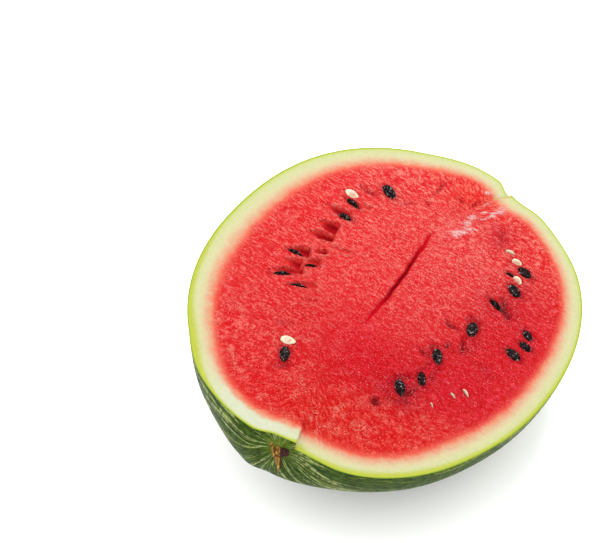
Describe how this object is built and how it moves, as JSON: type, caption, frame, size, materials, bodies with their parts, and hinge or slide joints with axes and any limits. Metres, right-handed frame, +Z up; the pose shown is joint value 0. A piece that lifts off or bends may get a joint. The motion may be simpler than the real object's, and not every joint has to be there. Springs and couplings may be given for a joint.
{
  "type": "watermelon half",
  "caption": "Cut piece of a striped watermelon lying on its skin, red face up, with a crack in the heart, loose seeds in their sockets and a dried stalk.",
  "frame": {"origin": "on the surface that the melon rests on, below the middle of its box", "axes": "+Y along the melon from the stem end to the blossom end, +X towards the lower side of the tilted cut face, +Z up"},
  "size_m": [0.2228, 0.2692, 0.1098],
  "materials": {
    "melon": "moist red flesh, pale green rind, satin dark green skin with mottled light stripes",
    "stalk": "dry torn fibres",
    "black_seed": "hard shell, wet gloss",
    "pale_seed": "soft unripe shell, satin"
  },
  "bodies": {
    "root": {"melon_half": "melon", "stem_stub": "stalk", "seed_01": "black_seed", "seed_02": "black_seed", "seed_03": "black_seed", "seed_04": "black_seed", "seed_05": "black_seed", "seed_06": "black_seed", "seed_07": "black_seed", "seed_08": "black_seed", "seed_09": "black_seed", "seed_10": "black_seed", "seed_11": "black_seed", "seed_12": "black_seed", "seed_13": "black_seed", "seed_14": "black_seed", "seed_15": "black_seed", "seed_16": "black_seed", "seed_17": "black_seed", "seed_18": "black_seed", "seed_19": "black_seed", "pale_seed_01": "pale_seed", "pale_seed_02": "pale_seed", "pale_seed_03": "pale_seed", "pale_seed_04": "pale_seed", "pale_seed_05": "pale_seed", "pale_seed_06": "pale_seed", "pale_seed_07": "pale_seed", "pale_seed_08": "pale_seed"}
  },
  "joints": []
}
